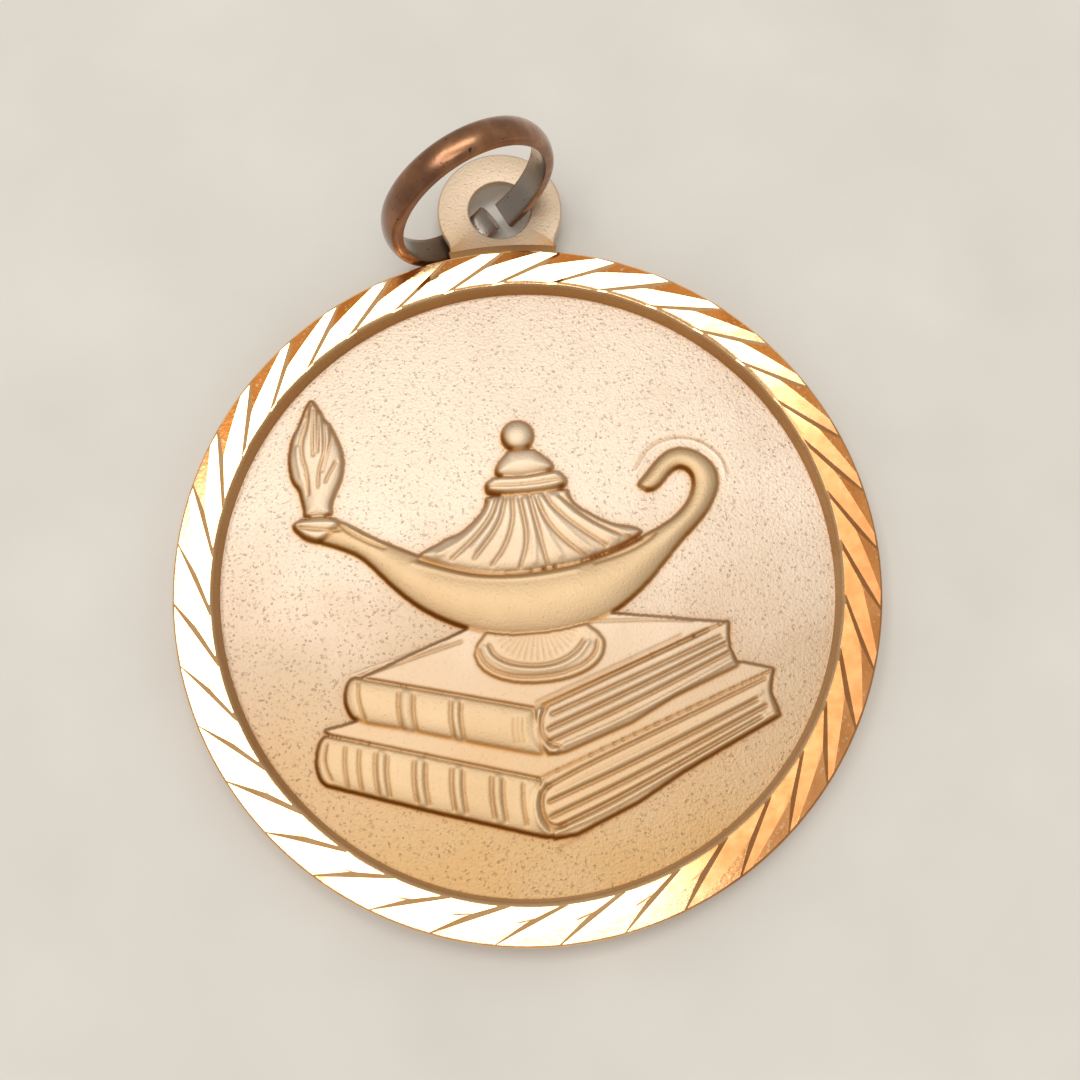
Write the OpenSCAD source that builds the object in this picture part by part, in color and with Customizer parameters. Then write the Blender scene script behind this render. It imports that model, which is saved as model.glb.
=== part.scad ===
// Academic medal: a struck bronze disc with a lamp of learning on two books,
// a rim with slanted bright cuts, a suspension loop, and a copper jump ring in its eye.
// The medal lies on its back: z = 0 is the back face, the loop points to +Y.

/* [Disc] */
// Diameter of the medal
medal_d = 32; // [31:0.5:40]
// Thickness at the crest, the highest line of the rim
medal_t = 2.35; // [2.2:0.05:3.5]
// Width of the cut rim, from the outer edge to the crest
rim_w = 1.75; // [1.2:0.05:3]
// How much lower the rim is at its outer edge than at its crest
rim_fall = 0.15; // [0.05:0.05:0.3]
// Depth of the sunk field below the crest
field_depth = 0.95; // [0.6:0.05:1.2]
// Run of the sloped wall between the crest and the field
wall_run = 0.3; // [0.1:0.05:0.8]
// Bevel of the outer edge, front and back
edge_bevel = 0.12; // [0.05:0.01:0.25]

/* [Rim cuts] */
// Number of slanted cuts round the rim
cut_count = 36; // [24:1:48]
// Angle between a cut and the radius at the outer edge
cut_slant = 48; // [30:1:55]
// Sideways lean of a cut's floor
cut_lean = 10; // [5:1:16]
// Depth of a cut at the outer edge
cut_depth = 0.08; // [0.05:0.01:0.2]
// Turn of the first cut from +X
cut_phase = 0; // [0:0.5:10]

/* [Suspension loop] */
// Outer diameter of the loop
loop_d = 6.1; // [5.8:0.1:8]
// Clearance between the jump ring's wire and the eye that it passes through
eye_clear = 0.24; // [0.2:0.02:0.3]
// Diameter of the eye
eye_d = 3.02; // [2.9:0.02:3.2]
// Width of the neck between the loop and the disc
neck_w = 5.15; // [4:0.05:5.6]
// Thickness of the loop
loop_t = 0.46; // [0.4:0.02:0.5]
// Room under the loop above a wire that lies on the same surface as the disc
loop_clear = 0.37; // [0.34:0.01:0.45]
// Run of the sloped shoulder where the loop meets the rim
shoulder_run = 0.56; // [0.3:0.02:0.64]

/* [Lamp] */
// Width of the lamp from its nozzle to its handle
lamp_w = 20; // [16:0.5:21]
// Height of the bowl above the field
lamp_rise = 0.53; // [0.3:0.01:0.6]
// Height of the lid above the field
lid_rise = 0.42; // [0.25:0.01:0.55]
// Depth of the flutes in the lid
flute_depth = 0.12; // [0.05:0.01:0.2]
// Number of flutes in the lid
lid_flutes = 9; // [6:1:12]
// Height of the flame above the field
flame_rise = 0.36; // [0.2:0.01:0.5]
// Depth of the lines in the flame
flame_line = 0.1; // [0.04:0.01:0.15]
// Diameter of the knob on the lid
knob_d = 1.4; // [1:0.02:1.6]
// Height of the knob above the field
knob_rise = 0.42; // [0.3:0.01:0.5]
// Height of the foot above the upper book
foot_rise = 0.12; // [0.06:0.01:0.2]
// Height of the middle of the lamp's rim above the medal's centre
lamp_y = 0.25; // [-0.5:0.05:0.8]

/* [Books] */
// Thickness of the upper book as drawn
upper_t = 2.05; // [1.4:0.05:2.2]
// Thickness of the lower book as drawn, at its front corner
lower_t = 2.45; // [1.8:0.05:2.5]
// How much thinner the lower book is drawn at its far ends
lower_taper = 0.35; // [0:0.05:0.5]
// Length of the upper book's spine
upper_spine = 8.35; // [6:0.05:8.6]
// Length of the upper book's pages
upper_pages = 9.5; // [7:0.1:9.7]
// Length of the lower book's spine
lower_spine = 9.9; // [8:0.1:10]
// Length of the lower book's pages
lower_pages = 11.3; // [8.5:0.1:11.4]
// Angle at which the spines rise to the left
spine_angle = 15; // [10:0.5:18]
// Angle at which the pages rise to the right
pages_angle = 20.5; // [15:0.5:24]
// Distance of the upper book's front corner below the medal's centre
corner_drop = 5.95; // [5.2:0.05:6]
// Distance between the two books' front corners
book_fall = 3.1; // [2.8:0.05:3.15]
// Height of the upper book above the field
upper_rise = 0.3; // [0.2:0.01:0.4]
// Height of the lower book above the field
lower_rise = 0.24; // [0.15:0.01:0.3]
// Depth of the lines between the pages
page_line = 0.09; // [0.04:0.01:0.14]
// Number of lines between the pages
page_lines = 4; // [3:1:7]
// Width of a book's cover as drawn
cover_w = 0.3; // [0.2:0.02:0.4]
// Height of the raised bands on the spines
band_h = 0.06; // [0.03:0.01:0.1]

/* [Jump ring] */
// Radius of the ring's main arc, at the middle of the wire
ring_r = 4.07; // [3.9:0.01:4.2]
// How much wider the arc on its left flank is bent
flank_swell = 0.95; // [0.8:0.01:1.1]
// Radius of the arc that passes under the loop
under_r = 3.1; // [2.9:0.05:3.3]
// Width of the wire along the ring's axis
wire_w = 1.36; // [1.2:0.02:1.4]
// Thickness of the wire, flat inside and domed outside
wire_t = 0.68; // [0.6:0.02:0.72]
// Height of the dome on the wire's outer face
wire_dome = 0.22; // [0.16:0.02:0.3]
// Turn of the ring's plane about the vertical, from +X
ring_turn = 26; // [20:1:32]
// Lean of the ring's top away from the medal; below zero it leans over the medal
ring_lean = -2; // [-3:0.5:1]
// Sideways turn of the left and lower arcs, away from the medal
ring_spring = 4.5; // [4:0.1:5]
// Gap between the ring and the surface that the medal lies on
ring_gap = 0.03; // [0.01:0.01:0.1]
// Distance of the wire's middle from the eye's middle, towards the medal
pass_near = 0.01; // [0:0.005:0.05]

/* [Hidden] */
$fn = 96;

medal_r = medal_d / 2;
crest_r = medal_r - rim_w;
edge_z = medal_t - rim_fall;
field_z = medal_t - field_depth;
field_r = crest_r - wall_run;
sink = 0.2;           // how far a relief piece reaches below what carries it
pitch = 360 / cut_count;
eye_out = 0.614 * ring_r;
eye_y = medal_r + eye_out;
loop_lift = ring_gap + wire_t + loop_clear;
loop_top = loop_lift + loop_t;
shoulder_h = edge_z - edge_bevel - loop_top;
// The ring is three arcs: the main one, the left flank and the one under the loop. Its open
// joint stands in the eye. The main arc's centre is ring_z above the table, and the wire's
// outer face is far_u from that centre where it dips into the eye.
flank_r = ring_r + flank_swell;
flank_angle = 45;
under_angle = 78;
end_angle = -64;
ring_z = ring_gap + wire_t / 2 + (flank_r - under_r) * sin(flank_angle) + under_r;
far_u = sqrt(pow(ring_r + wire_t / 2, 2) - pow(ring_z - loop_top, 2));

// Lamp body from nozzle to handle. Each row is a section drawn from its lower outline to its
// upper one. Places are hundredths of lamp_w from the middle of the lamp's rim, and rise is
// hundredths of lamp_rise. Columns: low x, low y, up x, up y, rise
lamp_body = [
    [-48, 11.2, -44, 15.6, 45],
    [-43, 9.2, -40, 14.2, 52],
    [-38, 6.2, -35, 10.4, 57],
    [-34.5, 3, -31.5, 8.6, 63],
    [-31, -0.8, -27, 6.4, 72],
    [-25, -6.4, -22, 4, 86],
    [-16.5, -11.2, -14.5, 1.2, 95],
    [-7.5, -14, -6.5, 0, 100],
    [1.5, -14.3, 1, 0, 100],
    [10.5, -13.6, 8.5, 0.8, 98],
    [18.5, -11, 15, 2, 95],
    [25, -6.2, 21.5, 4, 88],
    [30, -1, 26.5, 6.4, 80],
    [35, 4.4, 31, 8.4, 73],
    [39, 8, 34.8, 10.6, 67],
    [42, 11.2, 37.5, 13, 63],
    [44, 14.6, 39.3, 15.6, 61],
    [45.3, 18.2, 40.3, 18.2, 60],
    [44.8, 21.8, 40.3, 20.8, 60],
    [42.3, 25, 39, 22.6, 60],
    [38, 27, 37, 23.2, 58],
    [34.5, 26.6, 35, 22.6, 57],
    [31.8, 24.6, 33.3, 21.6, 54],
    [29.5, 22, 31.5, 19.6, 50],
    [27.5, 19.8, 29.3, 18, 45],
    [26.8, 18.6, 27.3, 18.1, 34]];

// Lid from the collar down to the bowl. Hundredths of lamp_w, and rise of lid_rise.
// Columns: left x, left y, right x, right y, sag of the middle, rise
lid_rows = [
    [-7.8, 20, 9.8, 20.4, 1, 70],
    [-8.4, 17, 10.6, 17.4, 1, 74],
    [-10.4, 13.8, 12.6, 14.4, 1.4, 80],
    [-13.6, 10.8, 16, 11.6, 2.2, 88],
    [-18, 8.2, 20.6, 8.8, 3.4, 96],
    [-22.2, 6.6, 24.6, 8, 4.8, 98],
    [-24.8, 5, 27.4, 6.8, 6.4, 92]];

// Flame from its foot to its tip. Hundredths of lamp_w, and rise of flame_rise.
// Columns: left x, right x, y, rise
flame_rows = [
    [-49.6, -43.8, 16, 60],
    [-50, -44, 19, 72],
    [-51, -42.6, 22.5, 84],
    [-52.6, -41, 26, 94],
    [-53, -40.4, 30, 100],
    [-52.2, -41, 34, 96],
    [-50.6, -42.6, 38, 84],
    [-49.2, -45, 42, 64],
    [-48, -46.8, 45, 40]];

// Dome of the lid, over the collar. Columns as for the flame, rise of lid_rise
dome_rows = [
    [-5.4, 7.4, 21, 100],
    [-6, 7.8, 23.4, 112],
    [-5, 6.6, 26, 104],
    [-3.2, 4.6, 28, 92],
    [-2.4, 3.2, 29.4, 74]];

function share(p, whole) = p / 100 * whole;
function mix(a, b, t) = a + (b - a) * t;
// A smooth line through the rows of a table, at a place between row i and row i + 1
function smooth_row(rows, i, t) =
    let (n = len(rows), p = rows[max(i - 1, 0)], q = rows[i], r = rows[min(i + 1, n - 1)],
         s = rows[min(i + 2, n - 1)])
    [for (k = [0:len(q) - 1]) 0.5 * (2 * q[k] + (r[k] - p[k]) * t
        + (2 * p[k] - 5 * q[k] + 4 * r[k] - s[k]) * t * t
        + (3 * q[k] - p[k] - 3 * r[k] + s[k]) * t * t * t)];
function smooth(rows, steps) = concat(
    [for (i = [0:len(rows) - 2], j = [0:steps - 1]) smooth_row(rows, i, j / steps)],
    [rows[len(rows) - 1]]);
// Height across a rounded section: low at both outlines, full in the middle
function crown(t, edge) = edge + (1 - edge) * pow(max(sin(180 * t), 0), 0.6);

// A raised patch: rows of top points over a flat floor. Each row runs straight from one side
// of the patch to the other, as seen from above, unless curved is set. The floor has a point
// under each top point of the two end rows, and only two points under a straight row between.
module patch(grid, floor_z, curved = false) {
    rows = len(grid);
    cols = len(grid[0]);
    along = grid[1][0] - grid[0][0];
    across = grid[0][cols - 1] - grid[0][0];
    turned = cross([along[0], along[1]], [across[0], across[1]]) > 0;
    top = [for (r = [0:rows - 1]) each grid[turned ? rows - 1 - r : r]];
    function under(r) = curved || r == 0 || r == rows - 1 ? [for (c = [0:cols - 1]) c] : [0, cols - 1];
    starts = [for (r = 0, at = rows * cols; r < rows; at = at + len(under(r)), r = r + 1) at];
    low = [for (r = [0:rows - 1], c = under(r)) [top[r * cols + c][0], top[r * cols + c][1], floor_z]];
    first = starts[0];
    final = starts[rows - 1];
    last = (rows - 1) * cols;
    polyhedron(points = concat(top, low), convexity = 8, faces = concat(
        [for (r = [0:rows - 2], c = [0:cols - 2], half = [0, 1]) half == 0
            ? [r * cols + c, (r + 1) * cols + c, (r + 1) * cols + c + 1]
            : [r * cols + c, (r + 1) * cols + c + 1, r * cols + c + 1]],
        [for (r = [0:rows - 2]) let (t = r * cols, a = starts[r], b = starts[r + 1],
                a_end = a + len(under(r)) - 1, b_end = b + len(under(r + 1)) - 1) each
            [[t + cols, t, a], [t + cols, a, b],
             [t + cols - 1, t + 2 * cols - 1, b_end], [t + cols - 1, b_end, a_end]]],
        [for (r = [0:rows - 2]) each floor_strip(starts[r], len(under(r)), starts[r + 1], len(under(r + 1)))],
        [for (c = [0:cols - 2]) each
            [[c, c + 1, first + c + 1], [c, first + c + 1, first + c],
             [last + c + 1, last + c, final + c], [last + c + 1, final + c, final + c + 1]]]));
}
// Floor triangles between a row of m points from index a and the next row of n points from index b
function floor_strip(a, m, b, n) = m == n
    ? [for (c = [0:m - 2]) each [[a + c, a + c + 1, b + c + 1], [a + c, b + c + 1, b + c]]]
    : m > n ? concat([for (c = [0:m - 2]) [a + c, a + c + 1, b + 1]], [[a, b + 1, b]])
    : concat([[a, a + 1, b + n - 1]], [for (c = [0:n - 2]) [a, b + c + 1, b + c]]);

module struck_disc() {
    rotate_extrude()
        polygon([[0, 0], [medal_r - edge_bevel, 0], [medal_r, edge_bevel],
            [medal_r, edge_z - edge_bevel], [medal_r - edge_bevel, edge_z],
            [crest_r, medal_t], [field_r, field_z], [0, field_z]]);
}

module rim_cut() {
    length = rim_w * 3;
    run_out = 1;
    translate([medal_r, 0, edge_z - cut_depth])
        rotate([0, 0, 180 - cut_slant])
            translate([-run_out, 0, 0])
                rotate([-cut_lean, 0, 0])
                    translate([0, -rim_w * 2, 0])
                        cube([length + run_out, rim_w * 2, medal_t]);
}

module loop_outline() {
    translate([0, eye_y]) circle(d = loop_d);
    translate([-neck_w / 2, crest_r]) square([neck_w, eye_y - crest_r - loop_d / 4]);
}

module suspension_loop() {
    difference() {
        union() {
            translate([0, 0, loop_lift]) linear_extrude(loop_t) loop_outline();
            intersection() {
                translate([0, 0, loop_lift]) linear_extrude(medal_t) loop_outline();
                rotate_extrude()
                    polygon([[crest_r, loop_top - loop_t / 2],
                        [medal_r + shoulder_run, loop_top - loop_t / 2], [medal_r + shoulder_run, loop_top],
                        [medal_r - edge_bevel / 2, loop_top + shoulder_h], [crest_r, loop_top + shoulder_h]]);
            }
        }
        translate([0, eye_y, 0]) cylinder(d = eye_d, h = medal_t * 2);
    }
}

// Bowl, spout and handle in one sweep
module lamp_bowl() {
    across = 6;
    grid = [for (row = smooth(lamp_body, 3))
        [for (k = [0:across])
            let (t = k / across)
            [share(mix(row[0], row[2], t), lamp_w), share(mix(row[1], row[3], t), lamp_w),
             field_z + share(row[4], lamp_rise) * crown(mix(0.04, 0.86, t), 0.15)]]];
    translate([0, lamp_y, 0]) patch(grid, field_z - sink);
}

module lamp_lid() {
    across = lid_flutes * 4;
    rows = smooth(lid_rows, 2);
    grid = [for (k = [0:across])
        let (t = k / across, dip = 4 * t * (1 - t))
        [for (row = rows)
            [share(mix(row[0], row[2], t), lamp_w), share(mix(row[1], row[3], t) - row[4] * dip, lamp_w),
             field_z + share(row[5], lid_rise) * crown(mix(0.04, 0.96, t), 0.35)
                - flute_depth * pow(abs(cos(180 * lid_flutes * t)), 3)]]];
    translate([0, lamp_y, 0]) patch(grid, field_z - sink, curved = true);
}

// A band or bell whose rows run across the lamp
module upright_relief(rows, rise, across, line_depth, lines, edge) {
    grid = [for (row = smooth(rows, 3))
        [for (k = [0:across])
            let (t = k / across)
            [share(mix(row[0], row[1], t), lamp_w), share(row[2], lamp_w),
             field_z + share(row[3], rise) * crown(mix(0.03, 0.97, t), edge)
                - line_depth * pow(abs(cos(180 * lines * t)), 4)]]];
    translate([0, lamp_y, 0]) patch(grid, field_z - sink);
}

// The rounded collar under the dome, bent like the rim of a bell
module lid_collar() {
    along = 12;
    left = -8.6;
    right = 10.4;
    grid = [for (i = [0:along])
        let (t = i / along, dip = 1.3 * sin(180 * t), half = 2.1 * pow(max(sin(mix(12, 168, t)), 0), 0.5))
        [for (k = [0:4])
            let (u = k / 4)
            [share(mix(left, right, t), lamp_w), share(21.3 - dip + mix(-half, half, u), lamp_w),
             field_z + lid_rise * 1.2 * crown(mix(0.06, 0.94, u), 0.4)]]];
    translate([0, lamp_y, 0]) patch(grid, field_z - sink);
}

module lid_knob() {
    ball_r = (knob_d * knob_d / 4 + knob_rise * knob_rise) / (2 * knob_rise);
    translate([0, lamp_y + share(32, lamp_w), field_z + knob_rise - ball_r]) sphere(r = ball_r);
}

// The cup at the end of the spout, an oval lip with a slot under it
module nozzle_cup() {
    along = 10;
    grid = [for (i = [0:along])
        let (t = i / along, swell = pow(max(sin(mix(10, 170, t)), 0), 0.6))
        [for (k = [0:4])
            let (u = k / 4)
            [share(mix(-52.6, -41.4, t), lamp_w),
             share(mix(14.8, 14, t) + mix(-2.4, 1.2, u) * swell, lamp_w),
             field_z + lamp_rise * 0.72 * crown(mix(0.08, 0.92, u), 0.45)]]];
    translate([0, lamp_y, 0]) patch(grid, field_z - sink);
}

// A fluted skirt under the bowl with two raised arcs round its hem
module lamp_foot() {
    foot_z = field_z + upper_rise;
    flutes = 8;
    steps = flutes * 4;
    function hem(grow, a) = [share(1 + 11.6 * grow * sin(a), lamp_w), -share(16 + 6.2 * grow * cos(a), lamp_w)];
    translate([0, lamp_y, 0]) {
        patch([for (k = [0:steps])
            let (t = k / steps, neck = [share(mix(-3, 5, t), lamp_w), -share(11.5, lamp_w)],
                 edge = hem(1, mix(-92, 92, t)))
            [for (i = [0:4])
                let (p = mix(neck, edge, i / 4))
                [p[0], p[1], foot_z + foot_rise * (0.5 + 0.5 * pow(abs(sin(180 * flutes * t)), 0.7))]]],
            field_z - sink / 4);
        for (grow = [1.13, 1.31])
            patch([for (k = [0:20])
                let (a = mix(-98, 98, k / 20))
                [for (i = [-1:1])
                    let (p = hem(grow + 0.045 * i, a))
                    [p[0], p[1], foot_z + foot_rise * (i == 0 ? 1 : 0.3)]]], field_z - sink / 4);
    }
}

// One book seen over its front corner: top cover, spine to the left, pages to the right.
// corner is the upper front corner, end_thick the thickness drawn at the far ends, and bands
// lists the places of raised bands along the spine as shares of its length.
module book(corner, spine, pages, thick, end_thick, rise, bands) {
    to_left = [-cos(spine_angle), sin(spine_angle)];
    to_right = [cos(pages_angle), sin(pages_angle)];
    left = corner + spine * to_left;
    right = corner + pages * to_right;
    function low(p, t) = p - [0, mix(thick, end_thick, t)];
    // top cover
    translate([0, 0, field_z - sink])
        linear_extrude(sink + rise)
            polygon([corner, right, right + spine * to_left, left]);
    // block behind the spine and the pages
    translate([0, 0, field_z - sink])
        linear_extrude(sink + rise * 0.6)
            polygon([low(corner, 0), low(right, 1), right - [0, cover_w / 2], corner - [0, cover_w / 2],
                left - [0, cover_w / 2], low(left, 1)]);
    // rounded spine with its bands and a swelling at its far end
    steps = 48;
    patch([for (i = [0:steps])
        let (s = i / steps, foot = corner + mix(0.015, 0.985, s) * spine * to_left,
             on = len([for (b = bands) if (abs(s - b) < 0.022) 1]) > 0 ? band_h : 0)
        [for (k = [0:6])
            let (u = k / 6, t = mix(thick, end_thick, s))
            [foot[0] - 0.12 * t * sin(180 * u), foot[1] - t * mix(0.98, 0.06, u),
             field_z + (rise + on) * crown(mix(0.06, 0.94, u), 0.5)]]], field_z - sink / 2);
    // edges of the two covers, joined by a round end next to the spine
    end_r = thick * 0.46;
    middle = corner + [end_r * 0.8, -thick / 2 + end_r * 0.8 * sin(pages_angle) / 2];
    for (side = [-1, 1])
        patch([for (i = [0:1])
            let (foot = corner + mix(0.08, 0.99, i) * pages * to_right, t = mix(thick, end_thick, i))
            [for (k = [0:2])
                [foot[0], foot[1] - t * 0.5 + side * (t * 0.5 - cover_w * mix(0.08, 1, k / 2)),
                 field_z + rise * (k == 1 ? 1.05 : 0.8)]]], field_z - sink / 2);
    difference() {
        translate([middle[0], middle[1], field_z - sink / 2]) cylinder(r = end_r, h = rise * 0.95 + sink / 2);
        translate([middle[0], middle[1], field_z - 1]) cylinder(r = end_r - cover_w, h = 3);
        translate([middle[0], middle[1] - thick, field_z - 1]) cube([thick * 2, thick * 2, 3]);
    }
    // page block with its lines
    cols = page_lines * 4;
    patch([for (i = [0:1])
        let (foot = corner + mix(0.07, 0.975, i) * pages * to_right, t = mix(thick, end_thick, i))
        [for (k = [0:cols])
            let (u = k / cols)
            [foot[0], foot[1] - mix(t - cover_w * 0.85, cover_w * 0.85, u),
             field_z + rise * 0.86 - page_line * (1 - abs(cos(180 * page_lines * u)))]]], field_z - sink / 3);
}

module medallion() {
    upper_corner = [0, -corner_drop];
    lower_corner = upper_corner - [0.2, book_fall];
    color("goldenrod") {
        difference() {
            struck_disc();
            for (k = [0:cut_count - 1])
                rotate([0, 0, cut_phase + k * pitch]) rim_cut();
        }
        suspension_loop();
        book(lower_corner, lower_spine, lower_pages, lower_t, lower_t - lower_taper, lower_rise,
            [0.07, 0.15, 0.24, 0.48, 0.53, 0.64, 0.73, 0.79, 0.85, 0.95]);
        book(upper_corner, upper_spine, upper_pages, upper_t, upper_t, upper_rise,
            [0.42, 0.48, 0.68, 0.74, 0.95]);
        lamp_foot();
        lamp_lid();
        lamp_bowl();
        lid_collar();
        upright_relief(dome_rows, lid_rise, 8, 0, 0, 0.3);
        lid_knob();
        upright_relief(flame_rows, flame_rise, 20, flame_line, 5, 0.35);
        nozzle_cup();
    }
}

// Half-round wire: flat towards the ring's middle, domed outside, rolled about its own middle
module wire_section(r, roll = 0, slim = 0) {
    wide = wire_w - 2 * slim;
    thick = wire_t - 2 * slim;
    dome_r = (pow(wide / 2, 2) + pow(wire_dome, 2)) / (2 * wire_dome);
    translate([r, 0]) rotate(roll)
        intersection() {
            translate([-thick / 2, -wide / 2]) square([2 * thick, wide]);
            translate([thick / 2 - dome_r, 0]) circle(r = dome_r);
        }
}

module jump_ring() {
    aside = far_u - eye_d / 2 + eye_clear;
    near = pass_near - (ring_z - loop_top) * sin(ring_lean);
    color("saddlebrown")
        translate([near * sin(ring_turn) - aside * cos(ring_turn),
            eye_y - aside * sin(ring_turn) - near * cos(ring_turn), ring_z])
            rotate([0, 0, ring_turn])
                rotate([90 + ring_lean, 0, 0]) {
                    rotate([0, 0, end_angle]) rotate_extrude(angle = 180 - end_angle) wire_section(ring_r);
                    // the other arcs lean sideways, and their wire is rolled back to meet the main arc's
                    // the flank's wire is a hair slimmer and longer, so that its ends stand inside its neighbours
                    translate([-ring_r, 0, 0])
                        rotate([0, -ring_spring, 180])
                            translate([-flank_r, 0, 0]) {
                                rotate([0, 0, -2])
                                    rotate_extrude(angle = flank_angle + 4)
                                        wire_section(flank_r, -ring_spring, 0.01);
                                translate((flank_r - under_r) * [cos(flank_angle), sin(flank_angle), 0])
                                    rotate([0, 0, flank_angle])
                                        rotate_extrude(angle = under_angle)
                                            wire_section(under_r, -ring_spring);
                            }
                }
}

medallion();
jump_ring();
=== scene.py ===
import math

import bmesh
import bpy
import numpy as np
from mathutils import Matrix, Vector


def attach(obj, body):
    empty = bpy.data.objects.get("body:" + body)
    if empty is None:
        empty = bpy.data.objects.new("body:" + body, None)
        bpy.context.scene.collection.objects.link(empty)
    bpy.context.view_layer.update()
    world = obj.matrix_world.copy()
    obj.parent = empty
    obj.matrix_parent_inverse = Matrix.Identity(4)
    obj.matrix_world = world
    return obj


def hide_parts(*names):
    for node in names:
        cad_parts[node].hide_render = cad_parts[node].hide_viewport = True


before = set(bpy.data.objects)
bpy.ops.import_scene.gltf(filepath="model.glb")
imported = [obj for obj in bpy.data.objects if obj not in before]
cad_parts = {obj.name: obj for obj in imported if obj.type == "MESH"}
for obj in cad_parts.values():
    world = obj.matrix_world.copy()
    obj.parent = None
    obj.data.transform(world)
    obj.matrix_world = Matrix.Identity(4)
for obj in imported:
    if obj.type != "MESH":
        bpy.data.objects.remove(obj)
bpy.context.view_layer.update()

scene = bpy.context.scene
mm = 0.001
print("frame loaded:", ", ".join(sorted(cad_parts)))

# Sizes in the piece dictionaries are millimetres. A mesh is made in millimetres and shrunk at the end.


def toLinear(hexText, alpha=1.0):
    parts = [int(hexText[i:i + 2], 16) / 255 for i in (1, 3, 5)]
    return [c / 12.92 if c <= 0.04045 else ((c + 0.055) / 1.055) ** 2.4 for c in parts] + [alpha]


def addNode(tree, kind, inputs=None, **settings):
    node = tree.nodes.new(kind)
    for name, value in settings.items():
        setattr(node, name, value)
    for socket, value in (inputs or {}).items():
        if isinstance(value, bpy.types.NodeSocket):
            tree.links.new(value, node.inputs[socket])
        else:
            node.inputs[socket].default_value = value
    return node


def startMaterial(name):
    material = bpy.data.materials.new(name)
    material.use_nodes = True
    tree = material.node_tree
    tree.nodes.clear()
    place = addNode(tree, "ShaderNodeTexCoord").outputs["Object"]
    return material, tree, place


def finishMaterial(tree, inputs):
    shader = addNode(tree, "ShaderNodeBsdfPrincipled", inputs)
    addNode(tree, "ShaderNodeOutputMaterial", {"Surface": shader.outputs["BSDF"]})


def ramp(tree, source, stops):
    # stops: (place, value or hex colour); a number gives a grey
    node = addNode(tree, "ShaderNodeValToRGB", {"Fac": source})
    bar = node.color_ramp
    while len(bar.elements) < len(stops):
        bar.elements.new(0.5)
    for element, (at, value) in zip(bar.elements, stops):
        element.position = at
        element.color = toLinear(value) if isinstance(value, str) else [value, value, value, 1]
    return node.outputs["Color"]


def speckle(tree, place, size, detail):
    # size is one grain in millimetres
    return addNode(tree, "ShaderNodeTexNoise",
                   {"Vector": place, "Scale": 1 / (size * mm), "Detail": detail}).outputs["Fac"]


def blend(tree, factor, low, high, mode="MIX"):
    # the Mix node's colour sockets are reached by number, because their names repeat
    return addNode(tree, "ShaderNodeMix", {0: factor, 6: low, 7: high},
                   data_type="RGBA", blend_type=mode).outputs[2]


def calc(tree, how, a, b=0.0, c=0.0):
    # the Math node's three values; MULTIPLY_ADD gives a * b + c
    return addNode(tree, "ShaderNodeMath", {0: a, 1: b, 2: c}, operation=how).outputs[0]


def attribute(tree, name):
    return addNode(tree, "ShaderNodeAttribute", attribute_name=name).outputs["Fac"]


def addPiece(bm, name, materials, sharpAngle, values):
    # values: one number a vertex for each attribute that the piece's materials read
    bmesh.ops.scale(bm, vec=(mm, mm, mm), verts=bm.verts)
    mesh = bpy.data.meshes.new(name)
    bm.to_mesh(mesh)
    bm.free()
    for key, numbers in values.items():
        mesh.attributes.new(key, "FLOAT", "POINT").data.foreach_set("value", numbers)
    mesh.shade_smooth()
    mesh.set_sharp_from_angle(angle=math.radians(sharpAngle))
    piece = bpy.data.objects.new(name, mesh)
    scene.collection.objects.link(piece)
    for material in materials:
        mesh.materials.append(material)
    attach(piece, "root")
    print("made", name, "with", len(mesh.polygons), "faces")
    return piece


# camera and light

# place in millimetres; right and back are the camera's own axes
viewPoint = {"place": (-1.14, -10.81, 55.74), "right": (0.9967, -0.0797, 0.0145),
             "back": (-0.0322, -0.2261, 0.9736), "lens": 40.4, "sensor": 36}


def setCamera(v):
    data = bpy.data.cameras.new("photoCamera")
    data.lens = v["lens"]
    data.sensor_width = v["sensor"]
    data.clip_start = 0.002
    data.clip_end = 20
    camera = bpy.data.objects.new("photoCamera", data)
    back = Vector(v["back"]).normalized()
    right = (Vector(v["right"]) - back * back.dot(Vector(v["right"]))).normalized()
    turn = Matrix((right, back.cross(right), back)).transposed().to_4x4()
    camera.matrix_world = Matrix.Translation(Vector(v["place"]) * mm) @ turn
    scene.collection.objects.link(camera)
    scene.camera = camera


# Soft boxes. towards is the direction in which a box hangs, size is its width and height as
# shares of the distance, and glow its brightness.
softBoxes = {
    "distance": 0.42,
    "topBox": {"towards": (0.06, 0.245), "size": (0.43, 0.29), "glow": 5.6, "tint": "#FFFDFA"},
    "leftStrip": {"towards": (-0.37, 0.08), "size": (0.19, 0.52), "glow": 5.8, "tint": "#FFFDFA"},
    "lowStrip": {"towards": (-0.05, -0.225), "size": (0.5, 0.14), "glow": 5.4, "tint": "#FFFCF6"},
}


def setLights(v):
    for name in ("topBox", "leftStrip", "lowStrip"):
        box = v[name]
        x, y = box["towards"]
        aim = Vector((x, y, math.sqrt(1 - x * x - y * y)))
        data = bpy.data.lights.new(name, "AREA")
        data.shape = "RECTANGLE"
        data.size = box["size"][0] * v["distance"]
        data.size_y = box["size"][1] * v["distance"]
        data.energy = math.pi * data.size * data.size_y * box["glow"]
        data.color = toLinear(box["tint"])[:3]
        lamp = bpy.data.objects.new(name, data)
        up = Vector((0, 1, 0))
        right = up.cross(aim).normalized()
        turn = Matrix((right, aim.cross(right), aim)).transposed().to_4x4()
        lamp.matrix_world = Matrix.Translation(aim * v["distance"]) @ turn
        scene.collection.objects.link(lamp)


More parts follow.
